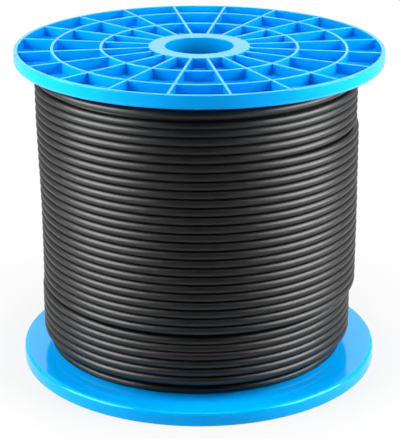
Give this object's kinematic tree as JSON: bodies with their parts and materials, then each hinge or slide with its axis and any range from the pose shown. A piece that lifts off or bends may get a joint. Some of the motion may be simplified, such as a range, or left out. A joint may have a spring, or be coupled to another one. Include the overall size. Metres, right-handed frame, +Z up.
{
  "type": "plastic cable drum",
  "caption": "Moulded plastic cable drum with ribbed flanges and a central arbor bore, wound full with round black sheathed cable and standing on one flange.",
  "frame": {"origin": "on the floor, at the drum's axis, in the plane of the lower flange's rib tops", "axes": "+Z up along the arbor bore; -Y towards the viewer, midway between two radial ribs; +X to the right"},
  "size_m": [0.27, 0.27, 0.2405],
  "materials": {
    "drum_plastic": "glossy moulded",
    "cable_sheath": "satin extruded"
  },
  "bodies": {
    "root": {"flange_top": "drum_plastic", "flange_bottom": "drum_plastic", "barrel": "drum_plastic", "cable_winding": "cable_sheath"}
  },
  "joints": []
}
